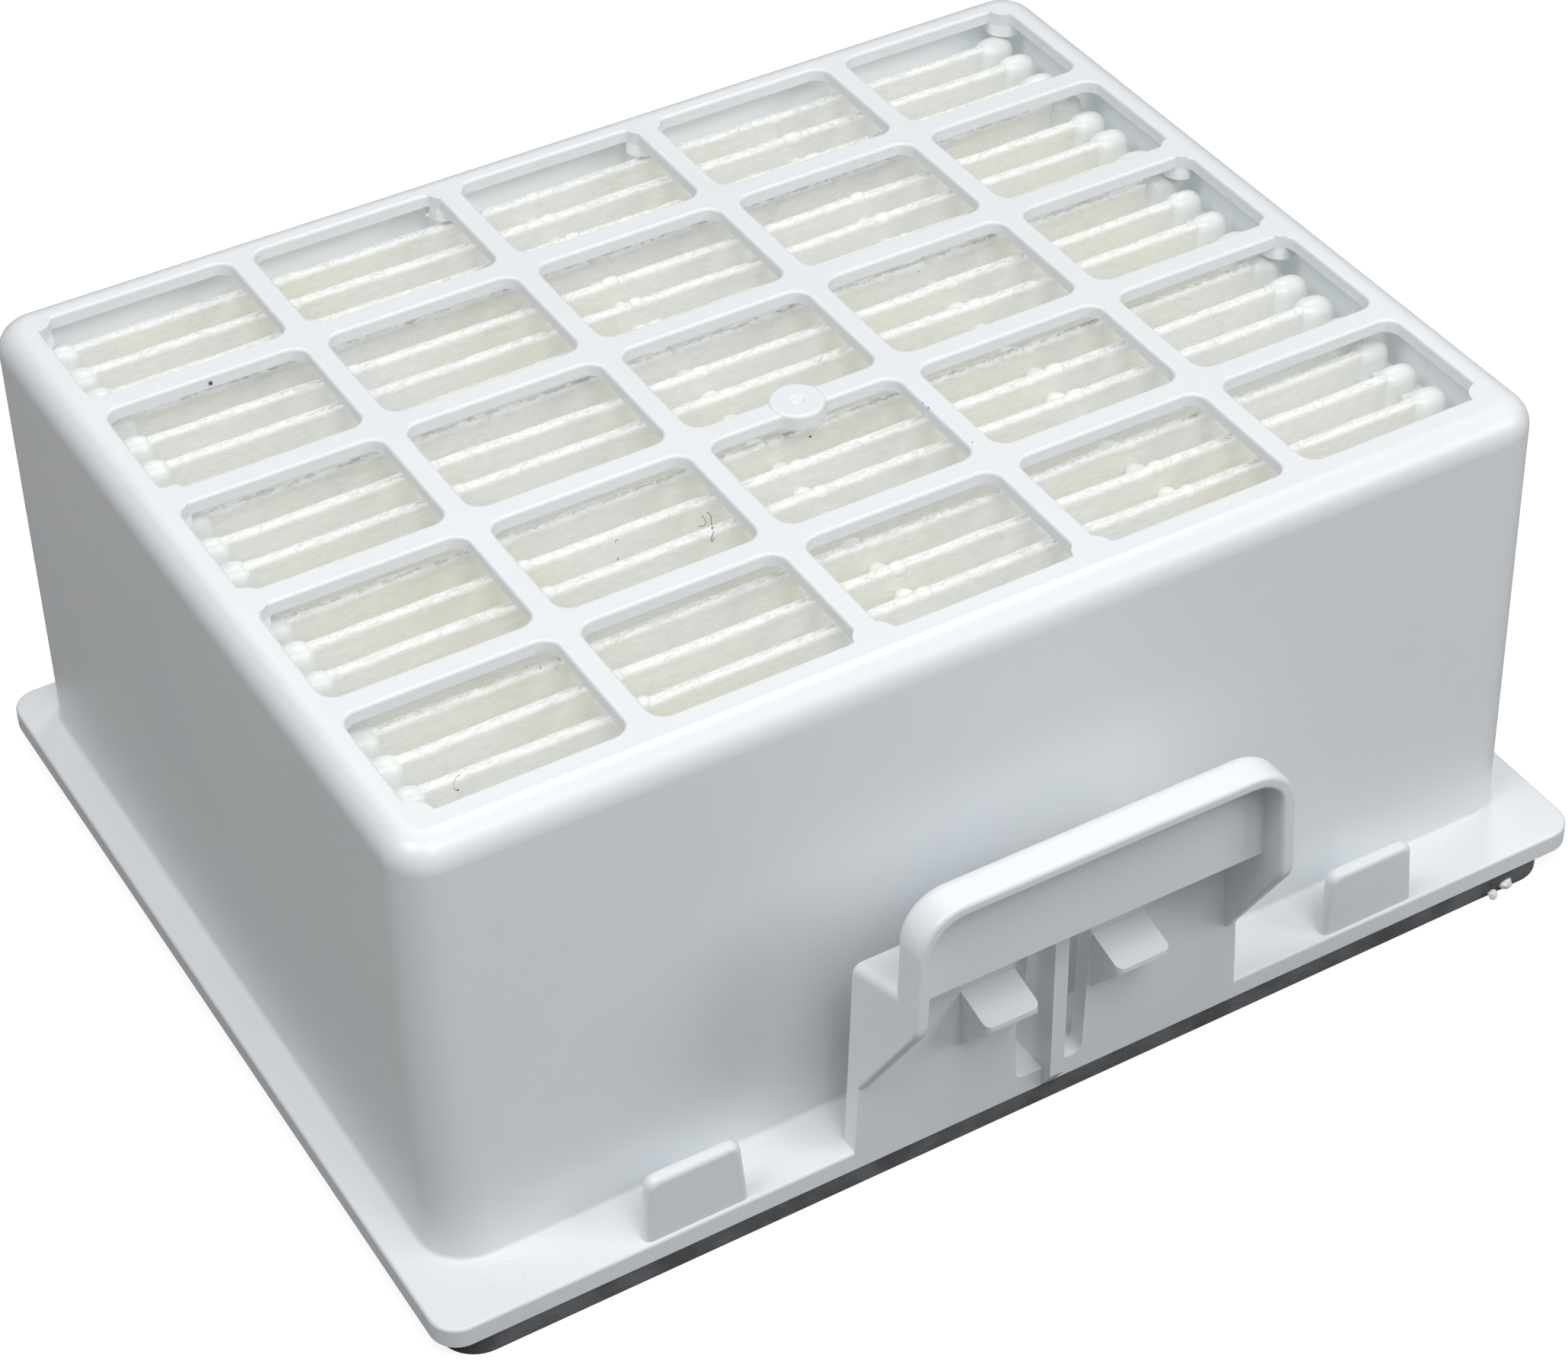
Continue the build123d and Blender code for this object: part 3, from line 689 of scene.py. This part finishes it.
def rounded_finger(width, length, dome, depth):
    """One upright glue finger: the upper half of a drawn-out ball, pulled down to a foot."""
    deselect()
    bpy.ops.mesh.primitive_uv_sphere_add(segments=32, ring_count=16, radius=1.0, location=(0, 0, 0))
    finger = bpy.context.object
    bpy.ops.object.mode_set(mode="EDIT")
    bpy.ops.mesh.select_all(action="SELECT")
    bpy.ops.mesh.bisect(plane_co=(0, 0, 0.03), plane_no=(0, 0, 1), clear_inner=True)
    bpy.ops.object.mode_set(mode="OBJECT")
    for vertex in finger.data.vertices:
        spot = vertex.co
        blunter = math.copysign(abs(spot.x) ** 0.7, spot.x)
        vertex.co = (blunter * length / 2, spot.y * width / 2, spot.z * dome)
    bpy.ops.object.mode_set(mode="EDIT")
    bpy.ops.mesh.select_all(action="DESELECT")
    bpy.ops.mesh.select_non_manifold(
        extend=False, use_wire=False, use_multi_face=False, use_non_contiguous=False
    )
    bpy.ops.mesh.extrude_edges_move(TRANSFORM_OT_translate={"value": (0, 0, -0.25 * width)})
    bpy.ops.mesh.extrude_edges_move(TRANSFORM_OT_translate={"value": (0, 0, 0.25 * width - depth)})
    bpy.ops.mesh.edge_face_add()
    bpy.ops.mesh.select_all(action="SELECT")
    bpy.ops.mesh.normals_make_consistent(inside=False)
    bpy.ops.object.mode_set(mode="OBJECT")
    return finger


def glue_fingers(name, side, sizes, folds, chance):
    """A comb of fingers over the pleat ends of one side, joined by a lower ledge."""
    box_low, box_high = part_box(name)
    dome = sizes.finger_dome
    outer_x = box_high.x if side > 0 else box_low.x
    inner_x = SHEET[1].x if side > 0 else SHEET[0].x
    length = abs(outer_x - inner_x) + sizes.finger_overlap
    centre_x = outer_x - side * (length / 2 + GLUE_GAP)
    depth = box_high.z - dome - box_low.z
    first = rounded_finger(sizes.finger_width, length, dome, depth)
    fingers = [first] + [copy_of(first, name) for _ in folds.crests()[1:]]
    for finger, crest in zip(fingers, folds.crests()):
        finger.scale = (chance.uniform(0.92, 1.03), chance.uniform(0.9, 1.12), 1.0)
        finger.location = (
            centre_x + side * chance.uniform(-0.12, 0.05) * MM,
            crest + chance.uniform(-0.12, 0.12) * MM,
            box_low.z + depth - chance.uniform(0.05, 0.3) * MM,
        )
        settle(finger)
        for vertex in finger.data.vertices:
            vertex.co.z = max(vertex.co.z, box_low.z)
    deselect()
    bpy.ops.mesh.primitive_grid_add(x_subdivisions=6, y_subdivisions=150, size=1)
    ledge = bpy.context.object
    span = folds.crests()[-1] - folds.crests()[0] + sizes.finger_width
    wide = abs(outer_x - inner_x) - GLUE_GAP
    top = box_high.z - sizes.ledge_drop
    ledge.scale = (wide, span, 1)
    ledge.location = (inner_x + side * (wide + GLUE_GAP) / 2, folds.middle, top)
    settle(ledge)
    for vertex in ledge.data.vertices:
        swell = noise.noise(Vector((vertex.co.x * 300, vertex.co.y * 260, side)))
        vertex.co.z += swell * LEDGE_SWELL
    thicken_down(ledge, top - box_low.z - 0.2 * MM)
    comb = join([*fingers, ledge], name.replace("end_glue", "glue_fingers"))
    shade_soft(comb, 50)
    return comb


def drops(places, name, grain):
    """Drops of glue, given as centre and half sizes, that run together into one soft body."""
    deselect()
    bpy.ops.mesh.primitive_uv_sphere_add(segments=20, ring_count=12, radius=1.0, location=(0, 0, 0))
    first = bpy.context.object
    balls = [first] + [copy_of(first, name) for _ in places[1:]]
    for ball, (centre, half) in zip(balls, places):
        ball.location = centre
        ball.scale = half
        settle(ball)
    body = join(balls, name)
    fuse = body.modifiers.new("fuse", "REMESH")
    fuse.mode = "VOXEL"
    fuse.voxel_size = grain
    relax = body.modifiers.new("relax", "SMOOTH")
    relax.factor = 0.5
    relax.iterations = 8
    apply_modifiers(body)
    shade_soft(body, 80)
    return body


def fold_glue(name, sizes, folds, chance):
    """One line of glue over the upper folds, with a pad on each fold and glue between them."""
    low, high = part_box(name)
    x = (low.x + high.x) / 2
    rows = folds.crests()
    places = []
    pad_half = folds.outer + sizes.pad_cover
    for number, y in enumerate(rows):
        wide = sizes.pad_width / 2 * chance.uniform(0.8, 1.15)
        spot = x + chance.uniform(-0.35, 0.35) * MM
        level = high.z - (pad_half + chance.uniform(0.1, 0.3) * MM)
        places.append(((spot, y, level), (wide, pad_half, pad_half)))
        places.append(((spot + 0.4 * wide, y, level), (wide * 0.7, pad_half, pad_half * 0.97)))
        if number + 1 < len(rows):
            deep = sizes.web_depth / 2 * chance.uniform(0.9, 1.1)
            centre = (spot, (y + rows[number + 1]) / 2, high.z - (sizes.web_drop + deep))
            places.append((centre, (wide * 1.1, folds.pitch * 0.42, deep)))
    return drops(places, name.replace("bead", "fold_glue"), sizes.grain)


def strand(points, radius, name):
    """A thin round thread through the points."""
    curve = bpy.data.curves.new(name, "CURVE")
    curve.dimensions = "3D"
    curve.bevel_depth = radius
    curve.bevel_resolution = 1
    curve.use_fill_caps = True
    add_spline(curve, points)
    return meshed(curve, name)


def add_spline(curve, points):
    """Adds one smooth line to a curve."""
    line = curve.splines.new("NURBS")
    line.points.add(len(points) - 1)
    for target, point in zip(line.points, points):
        target.co = (*point, 1.0)
    line.use_endpoint_u = True
    line.order_u = min(4, len(points))
    line.resolution_u = 4


def meshed(curve, name):
    """Turns a curve into a mesh piece."""
    deselect()
    piece = bpy.data.objects.new(name, curve)
    bpy.context.collection.objects.link(piece)
    select_only(piece)
    bpy.ops.object.convert(target="MESH")
    return bpy.context.object


def look_down(sheet, x, y):
    """Whether a plumb line meets the paper from above, and where."""
    met, spot, _, _ = sheet.ray_cast(Vector((x, y, SHEET[1].z + 5 * MM)), Vector((0, 0, -1)))
    return met, spot


def crest_wool(sheet, folds, sizes, chance):
    """The torn, fluffy skin along each crest, as one piece of closed strips; its pale finish is partly a
    painted highlight on the crest tops.
    """
    low, high = SHEET
    length = high.x - low.x - WOOL_SHORTER
    columns = round(length / sizes.wool_step)
    deselect()
    bpy.ops.mesh.primitive_grid_add(x_subdivisions=columns, y_subdivisions=5, size=1)
    first = bpy.context.object
    first.scale = (length, 1.0, 1.0)
    settle(first)
    strips = [first] + [copy_of(first, "wool") for _ in folds.crests()[1:]]
    for number, (strip, crest) in enumerate(zip(strips, folds.crests())):
        for vertex in strip.data.vertices:
            x, share = vertex.co.x + (low.x + high.x) / 2, vertex.co.y * 2
            width = sizes.wool_width * (0.8 + 0.5 * noise.noise(Vector((x * 260, number * 7.3, 1.0))))
            drift = WOOL_DRIFT * noise.noise(Vector((x * 330, number * 3.1, 9.0)))
            y = crest - WOOL_SHIFT + drift + share * width / 2 + chance.gauss(0, 1) * WOOL_FRAY
            met, spot = look_down(sheet, x, y)
            level = spot.z if met else high.z - 0.6 * MM
            tuft = noise.noise(Vector((x * 900, y * 900, number))) + 0.6 * chance.gauss(0, 0.5)
            rise = (WOOL_BASE + WOOL_TUFT * tuft) * MM * (1.0 - abs(share) ** 3)
            vertex.co = (x, y, level + rise - WOOL_FRAY * abs(share))
        thicken_down(strip, WOOL_DEPTH)
    return join(strips, "crest_wool")


def loose_fibres(sheet, folds, sizes, chance):
    """Short bright fibres that lie along the folds, as one piece."""
    curve = bpy.data.curves.new("loose_fibres", "CURVE")
    curve.dimensions = "3D"
    curve.bevel_depth = sizes.fibre_radius
    curve.bevel_resolution = 0
    low, high = SHEET
    for _ in range(sizes.fibres):
        crest = chance.choice(folds.crests())
        x = chance.uniform(low.x + 1 * MM, high.x - 1 * MM)
        y = crest + chance.gauss(-0.1, 0.55) * MM
        met, spot = look_down(sheet, x, y)
        if not met or spot.z < high.z - 2.5 * MM:
            continue
        angle = chance.gauss(0, 0.6)
        half = chance.uniform(0.2, 0.8) * MM
        bow = chance.uniform(-0.25, 0.25) * MM
        lift = chance.uniform(0.01, 0.16) * MM
        along = Vector((math.cos(angle), math.sin(angle), 0))
        beside = Vector((-along.y, along.x, 0))
        ends = [spot - along * half, spot + beside * bow, spot + along * half]
        path = []
        for share, point in zip((0.2, 1.0, 0.3), ends):
            met, foot = look_down(sheet, point.x, point.y)
            level = foot.z if met and foot.z > spot.z - 0.8 * MM else spot.z - 0.2 * MM
            path.append((point.x, point.y, level + lift * share))
        add_spline(curve, path)
    return meshed(curve, "loose_fibres")


def lay_on(target, points, lift):
    """Moves points of the photograph's sight lines onto the piece that carries them."""
    laid = []
    for point in points:
        aim = (Vector(point) * MM - CAMERA_PLACE).normalized()
        met, spot, normal, _ = target.ray_cast(CAMERA_PLACE, aim)
        laid.append(spot + normal * lift if met else Vector(point) * MM)
    return laid


def crumb(place, sizes, name, seed):
    """A small irregular grain."""
    deselect()
    bpy.ops.mesh.primitive_ico_sphere_add(subdivisions=3, radius=1.0, location=(0, 0, 0))
    grain = bpy.context.object
    grain.name = name
    for vertex in grain.data.vertices:
        vertex.co *= 1.0 + 0.35 * noise.noise(vertex.co * 1.7 + Vector((seed, 0, 0)))
    grain.scale = [v * MM for v in sizes]
    grain.location = place
    settle(grain)
    shade_soft(grain, 70)
    return grain


def gate_scar():
    """The torn end of the injection point: a small rough disc."""
    deselect()
    bpy.ops.mesh.primitive_circle_add(vertices=40, radius=SCAR_RADIUS, fill_type="TRIFAN", location=GATE)
    scar = bpy.context.object
    scar.name = "gate_scar"
    settle(scar)
    bpy.ops.object.mode_set(mode="EDIT")
    bpy.ops.mesh.select_all(action="SELECT")
    bpy.ops.mesh.subdivide(number_cuts=9)
    bpy.ops.object.mode_set(mode="OBJECT")
    for vertex in scar.data.vertices:
        out = (vertex.co - GATE).length / SCAR_RADIUS
        rough = noise.noise(vertex.co * 2400 + Vector((2, 5, 1)))
        tear = noise.noise(vertex.co * 900 + Vector((7, 1, 4)))
        torn = (0.6 * rough + 1.2 * max(0.0, tear)) * max(0.0, 1 - out**3)
        vertex.co.z += SCAR_HEIGHT * (torn - 0.6 * out**2)
    thick = scar.modifiers.new("thickness", "SOLIDIFY")
    thick.thickness = SCAR_THICKNESS
    thick.offset = -1
    apply_modifiers(scar)
    shade_soft(scar, 35)
    return scar


def ring_mark():
    """A faint raised ring left by an ejector pin."""
    deselect()
    bpy.ops.mesh.primitive_circle_add(vertices=48, radius=RING_RADIUS, location=EJECTOR_MARK)
    ring = bpy.context.object
    ring.name = "ejector_ring"
    settle(ring)
    bpy.ops.object.mode_set(mode="EDIT")
    bpy.ops.mesh.select_all(action="SELECT")
    bpy.ops.mesh.extrude_edges_move(TRANSFORM_OT_translate={"value": (0, 0, RING_HEIGHT)})
    bpy.ops.object.mode_set(mode="OBJECT")
    band = ring.modifiers.new("band", "SOLIDIFY")
    band.thickness = RING_WIDTH
    band.offset = 0
    soften = ring.modifiers.new("soften", "BEVEL")
    soften.width = RING_EDGE
    soften.segments = 2
    apply_modifiers(ring)
    shade_soft(ring, 50)
    return ring


class CASSETTE_OT_housing(bpy.types.Operator):
    """Finish of the one-piece moulding"""

    bl_idname = "cassette.housing"
    bl_label = "Dress the housing"

    def execute(self, context):
        dress(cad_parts["housing"], bpy.data.materials["moulded_white_plastic"])
        return {"FINISHED"}


class CASSETTE_OT_paper(bpy.types.Operator):
    """Folded filter paper with its sway and dents"""

    bl_idname = "cassette.paper"
    bl_label = "Fold the paper"

    def execute(self, context):
        sheet = fold_sheet(context.scene.cassette_sheet)
        dress(sheet, bpy.data.materials["fibrous_filter_paper"])
        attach(sheet, "root")
        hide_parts("pleated_media")
        return {"FINISHED"}


class CASSETTE_OT_glue(bpy.types.Operator):
    """Glue over the pleat ends, over the folds and round the pack"""

    bl_idname = "cassette.glue"
    bl_label = "Lay the glue"

    def execute(self, context):
        sizes = context.scene.cassette_glue
        folds = Folds(context.scene.cassette_sheet)
        chance = random.Random(context.scene.cassette_litter.seed)
        milky = bpy.data.materials["milky_hot_glue"]
        for name, side in (("end_glue_left", -1), ("end_glue_right", 1)):
            comb = glue_fingers(name, side, sizes, folds, chance)
            dress(comb, milky)
            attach(comb, "root")
            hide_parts(name)
        for place in ("left", "middle", "right"):
            name = f"top_bead_{place}"
            line = fold_glue(name, sizes, folds, chance)
            dress(line, bpy.data.materials["glue_soaked_into_paper"])
            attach(line, "root")
            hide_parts(name)
            dress(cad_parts[f"low_bead_{place}"], milky)
        dress(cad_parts["pack_sealant"], milky)
        return {"FINISHED"}


class CASSETTE_OT_litter(bpy.types.Operator):
    """Loose fibres, hairs, specks, the gate scar and a stray lump of glue"""

    bl_idname = "cassette.litter"
    bl_label = "Scatter the fibres and specks"

    def execute(self, context):
        sizes = context.scene.cassette_litter
        chance = random.Random(sizes.seed + 1)
        sheet = bpy.data.objects["filter_paper"]
        folds = Folds(context.scene.cassette_sheet)
        carriers = {"paper": sheet, "seal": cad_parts["flange_seal"], "housing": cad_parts["housing"]}
        pieces = []
        # The crest fuzz is pale and partly paints the highlight on the crest tops; the loose fibres are pale
        # fibres.
        for make in (crest_wool, loose_fibres):
            fuzz = make(sheet, folds, sizes, chance)
            dress(fuzz, bpy.data.materials["bright_fibre"])
            pieces.append(fuzz)
        for number, (level, path, share, shade) in enumerate(HAIRS):
            radius = share * sizes.hair_radius
            laid = lay_on(sheet, [(x, y, level) for x, y in path], radius)
            hair = strand(laid, radius, f"hair_{number + 1}")
            dress(hair, bpy.data.materials[shade])
            pieces.append(hair)
        for number, (place, half, shade, carrier) in enumerate(CRUMBS):
            spot = lay_on(carriers[carrier], [place], 0.3 * half[2] * MM)[0]
            spot.z = max(spot.z, CAD_BOX[0].z + 1.4 * half[2] * MM)
            grain = crumb(spot, half, f"speck_{number + 1}", number * 3.1)
            dress(grain, bpy.data.materials[shade])
            pieces.append(grain)
        for mark in (gate_scar(), ring_mark()):
            dress(mark, bpy.data.materials["moulded_white_plastic"])
            pieces.append(mark)
        for piece in pieces:
            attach(piece, "root")
        return {"FINISHED"}


class CASSETTE_OT_seal(bpy.types.Operator):
    """Foam strip under the flange"""

    bl_idname = "cassette.seal"
    bl_label = "Dress the foam seal"

    def execute(self, context):
        dress(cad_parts["flange_seal"], bpy.data.materials["dark_foam_strip"])
        return {"FINISHED"}


class CASSETTE_OT_stage(bpy.types.Operator):
    """Floor, lights and camera"""

    bl_idname = "cassette.stage"
    bl_label = "Set the stage"

    def execute(self, context):
        scene = context.scene
        sizes = scene.cassette_stage
        scene.view_settings.view_transform = "Standard"
        make_world(scene, sizes.sky)
        make_floor(sizes.floor_tone)
        make_lights(sizes)
        make_camera(scene, sizes)
        return {"FINISHED"}


def make_world(scene, strength):
    """Even light for the object, plain white where the camera looks past it."""
    world = bpy.data.worlds.new("studio")
    scene.world = world
    world.use_nodes = True
    nodes = Nodes(world.node_tree)
    tree = world.node_tree
    even = tree.nodes["Background"]
    even.inputs["Color"].default_value = (0.93, 0.96, 1.0, 1.0)
    even.inputs["Strength"].default_value = strength
    white = nodes.add("ShaderNodeBackground", (0, -200))
    white.inputs["Color"].default_value = (1.0, 1.0, 1.0, 1.0)
    seen = nodes.add("ShaderNodeLightPath", (-300, 200))
    mix = nodes.add("ShaderNodeMixShader", (300, 0))
    nodes.link(seen.outputs["Is Camera Ray"], mix.inputs["Fac"])
    nodes.link(even.outputs["Background"], mix.inputs[1])
    nodes.link(white.outputs["Background"], mix.inputs[2])
    nodes.link(mix.outputs["Shader"], tree.nodes["World Output"].inputs["Surface"])


def make_floor(tone):
    """Large floor: white to the camera, duller in the light it gives back to the object."""
    deselect()
    bpy.ops.mesh.primitive_grid_add(x_subdivisions=8, y_subdivisions=8, size=6.0, location=(0, 0, 0))
    floor = bpy.context.object
    floor.name = "floor"
    material, nodes, shader, where = new_material("pale_floor")
    shader.inputs["Base Color"].default_value = (tone, tone, tone, 1.0)
    shader.inputs["Roughness"].default_value = 0.9
    shader.inputs["Specular IOR Level"].default_value = 0.0
    glow = nodes.add("ShaderNodeEmission", (0, -300))
    glow.inputs["Color"].default_value = (1.0, 1.0, 1.0, 1.0)
    glow.inputs["Strength"].default_value = 0.82
    seen = nodes.add("ShaderNodeLightPath", (-300, 300))
    both = nodes.add("ShaderNodeAddShader", (250, -100))
    mix = nodes.add("ShaderNodeMixShader", (450, 0))
    output = material.node_tree.nodes["Material Output"]
    nodes.link(shader.outputs["BSDF"], both.inputs[0])
    nodes.link(glow.outputs["Emission"], both.inputs[1])
    nodes.link(seen.outputs["Is Camera Ray"], mix.inputs["Fac"])
    nodes.link(shader.outputs["BSDF"], mix.inputs[1])
    nodes.link(both.outputs["Shader"], mix.inputs[2])
    nodes.link(mix.outputs["Shader"], output.inputs["Surface"])
    floor.data.materials.append(material)


def add_area(name, place, target, width, power):
    """A square area light that looks at a point."""
    deselect()
    bpy.ops.object.light_add(type="AREA", location=place)
    lamp = bpy.context.object
    lamp.name = name
    lamp.data.size = width
    lamp.data.energy = power
    lamp.rotation_euler = (target - place).to_track_quat("-Z", "Y").to_euler()


def make_lights(sizes):
    """A small key light and four soft ones."""
    for name, (azimuth, elevation, width) in LAMPS.items():
        turn, rise = math.radians(azimuth), math.radians(elevation)
        way = Vector((math.cos(rise) * math.cos(turn), math.cos(rise) * math.sin(turn), math.sin(rise)))
        place = LAMP_TARGET + way * LAMP_DISTANCE
        add_area(f"{name}_light", place, LAMP_TARGET, width, getattr(sizes, name))


def make_camera(scene, sizes):
    """Camera at the photograph's viewpoint; place, aim and lens come from lines measured in it."""
    deselect()
    right = Vector((0.85639, -0.51617, -0.01262))
    up = Vector((0.34155, 0.54799, 0.76358))
    forward = Vector((0.38722, 0.65823, -0.64559))
    turn = Matrix((right, up, -forward)).transposed().to_4x4()
    bpy.ops.object.camera_add()
    camera = bpy.context.object
    camera.matrix_world = Matrix.Translation(CAMERA_PLACE) @ turn
    camera.data.lens = sizes.lens
    camera.data.sensor_width = 36.0
    camera.data.shift_x = -0.0405
    camera.data.shift_y = 0.0003
    camera.data.clip_start = 0.01
    camera.data.clip_end = 50.0
    scene.camera = camera


class CASSETTE_PT_panel(bpy.types.Panel):
    """Sidebar list of the pieces"""

    bl_label = "Filter cassette"
    bl_space_type = "VIEW_3D"
    bl_region_type = "UI"
    bl_category = "Cassette"

    def draw(self, context):
        for piece in OPERATORS:
            self.layout.operator(piece.bl_idname)


GROUPS = {
    "cassette_sheet": SheetSizes,
    "cassette_glue": GlueSizes,
    "cassette_litter": Litter,
    "cassette_finishes": Finishes,
    "cassette_stage": StageSizes,
}
OPERATORS = (
    CASSETTE_OT_housing,
    CASSETTE_OT_paper,
    CASSETTE_OT_glue,
    CASSETTE_OT_litter,
    CASSETTE_OT_seal,
    CASSETTE_OT_stage,
)
CLASSES = (*GROUPS.values(), *OPERATORS, CASSETTE_PT_panel)


def register():
    for each in CLASSES:
        bpy.utils.register_class(each)
    for name, group in GROUPS.items():
        setattr(bpy.types.Scene, name, bpy.props.PointerProperty(type=group))


def unregister():
    for name in GROUPS:
        delattr(bpy.types.Scene, name)
    for each in reversed(CLASSES):
        bpy.utils.unregister_class(each)


def mix_finishes(finishes):
    """Makes every material once."""
    groups = {"mottle": mottle_group(), "inside": inside_group()}
    glue_material(finishes, groups, "milky_hot_glue", tuple(finishes.glue))
    glue_material(finishes, groups, "glue_soaked_into_paper", tuple(finishes.soaked_glue))
    for make in (plastic_material, paper_material, foam_material):
        make(finishes, groups)
    plain_material("dark_dust", tuple(finishes.dust), 0.7)
    plain_material("grey_dust", (0.3, 0.3, 0.3), 0.7)
    # Pale fibres; on the crest fuzz the same colour partly paints the highlight on the crest tops.
    plain_material("bright_fibre", (0.89, 0.895, 0.89), 0.4)


def main():
    register()
    mix_finishes(bpy.context.scene.cassette_finishes)
    for step in ("housing", "paper", "glue", "litter", "seal", "stage"):
        getattr(bpy.ops.cassette, step)()


if __name__ == "__main__":
    main()
